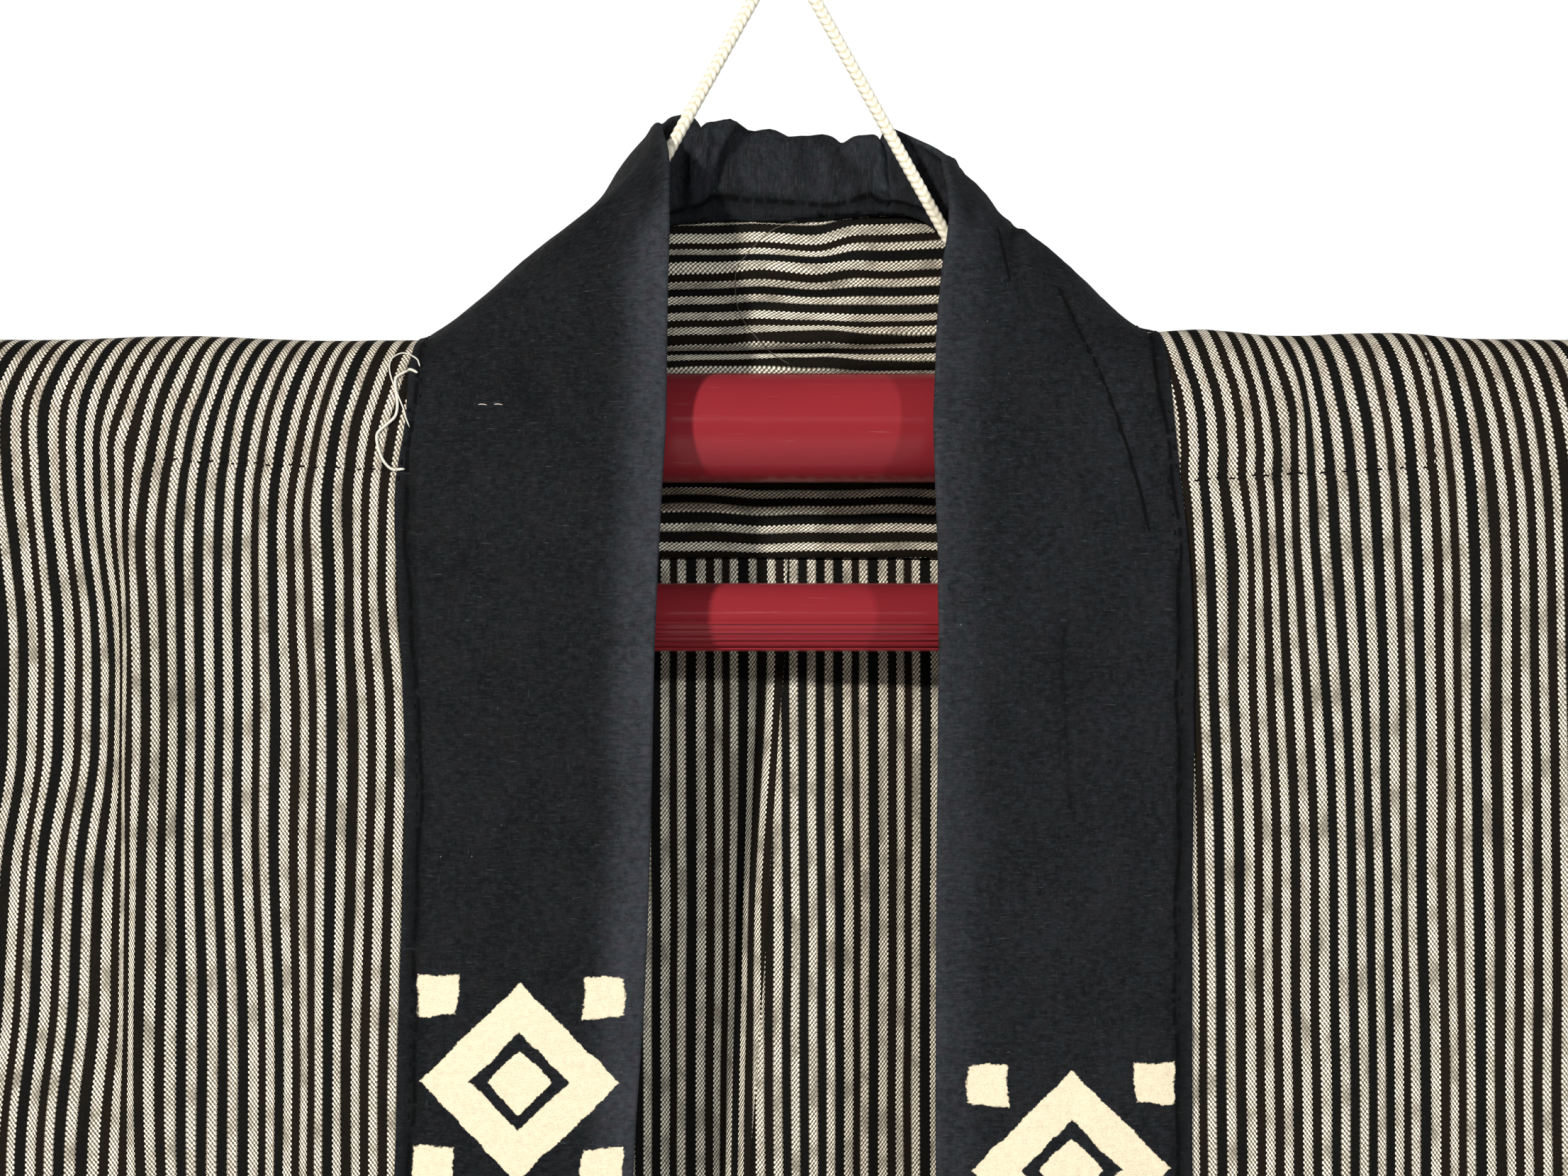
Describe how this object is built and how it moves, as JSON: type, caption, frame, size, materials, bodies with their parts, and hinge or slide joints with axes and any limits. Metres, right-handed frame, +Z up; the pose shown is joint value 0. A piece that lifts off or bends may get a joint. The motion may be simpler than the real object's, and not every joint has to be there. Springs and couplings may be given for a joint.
{
  "type": "happi coat on hanger",
  "caption": "Striped cotton happi coat with a plain navy band collar, hung open on a two-bar kimono hanger with a cord loop.",
  "frame": {"origin": "crown of the hanger's cord loop, where a peg or hook carries it", "axes": "+Z up, +X to the right of someone who faces the coat's open front, the front faces -Y"},
  "size_m": [1.2606, 0.0602, 0.8705],
  "materials": {
    "striped_cotton": "worn twill cotton, cream and dark brown-black stripes 4.5 mm apart",
    "navy_cotton": "faded indigo plain-weave cotton with cream motifs low on both fronts",
    "red_plastic": "smooth deep red plastic with a soft gloss and light scratches",
    "white_cord": "off-white plaited cord",
    "white_thread": "loose off-white sewing thread",
    "dark_thread": "dark sewing thread"
  },
  "bodies": {
    "root": {"body_left": "striped_cotton", "body_right": "striped_cotton", "sleeve_left": "striped_cotton", "sleeve_right": "striped_cotton", "shoulder_backing": "striped_cotton", "collar": "navy_cotton", "hanger_tube": "red_plastic", "hanger_lower_bar": "red_plastic", "hanger_arm_left": "red_plastic", "hanger_arm_right": "red_plastic", "hanger_bracket_left": "red_plastic", "hanger_bracket_right": "red_plastic", "hanging_cord": "white_cord"}
  },
  "joints": []
}
